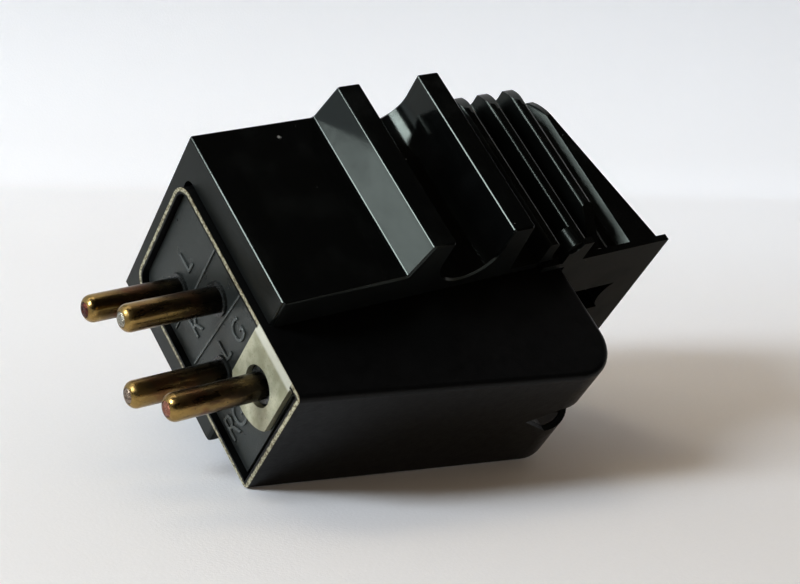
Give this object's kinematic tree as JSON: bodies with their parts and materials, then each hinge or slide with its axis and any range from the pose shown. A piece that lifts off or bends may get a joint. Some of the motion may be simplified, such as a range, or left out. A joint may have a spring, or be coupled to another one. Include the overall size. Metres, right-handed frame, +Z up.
{
  "type": "phono cartridge",
  "caption": "Moving-magnet phono cartridge body without its stylus: black shell with screw channels and fluted nose, shield can, rear terminal pins.",
  "frame": {"origin": "on the flat mounting face, midway between the two screw channels", "axes": "+Z up to the headshell, +Y forward to the nose, +X to the right seen from behind"},
  "size_m": [0.0144, 0.0273, 0.0152],
  "materials": {
    "shell_plastic": "gloss black moulded plastic",
    "can_paint": "satin black paint on sheet metal, bare at the rim and tab",
    "terminal_plastic": "matt dark grey moulded plastic",
    "pin_brass": "tarnished gilt brass",
    "solder": "dull solder",
    "socket_brass": "plain brass",
    "inner_plastic": "matt moulded plastic",
    "core_steel": "bare rolled sheet",
    "coil_wire": "lacquered copper wire"
  },
  "bodies": {
    "root": {"mount_shell": "shell_plastic", "shield_can": "can_paint", "terminal_block": "terminal_plastic", "pin_solder": "solder", "stylus_socket": "socket_brass", "core_carrier": "inner_plastic", "pin_left": "pin_brass", "lead_left": "coil_wire", "pin_right": "pin_brass", "lead_right": "coil_wire", "pin_left_ground": "pin_brass", "lead_left_ground": "coil_wire", "pin_right_ground": "pin_brass", "lead_right_ground": "coil_wire", "core_left": "core_steel", "bobbin_left": "inner_plastic", "winding_left": "coil_wire", "core_right": "core_steel", "bobbin_right": "inner_plastic", "winding_right": "coil_wire"}
  },
  "joints": []
}
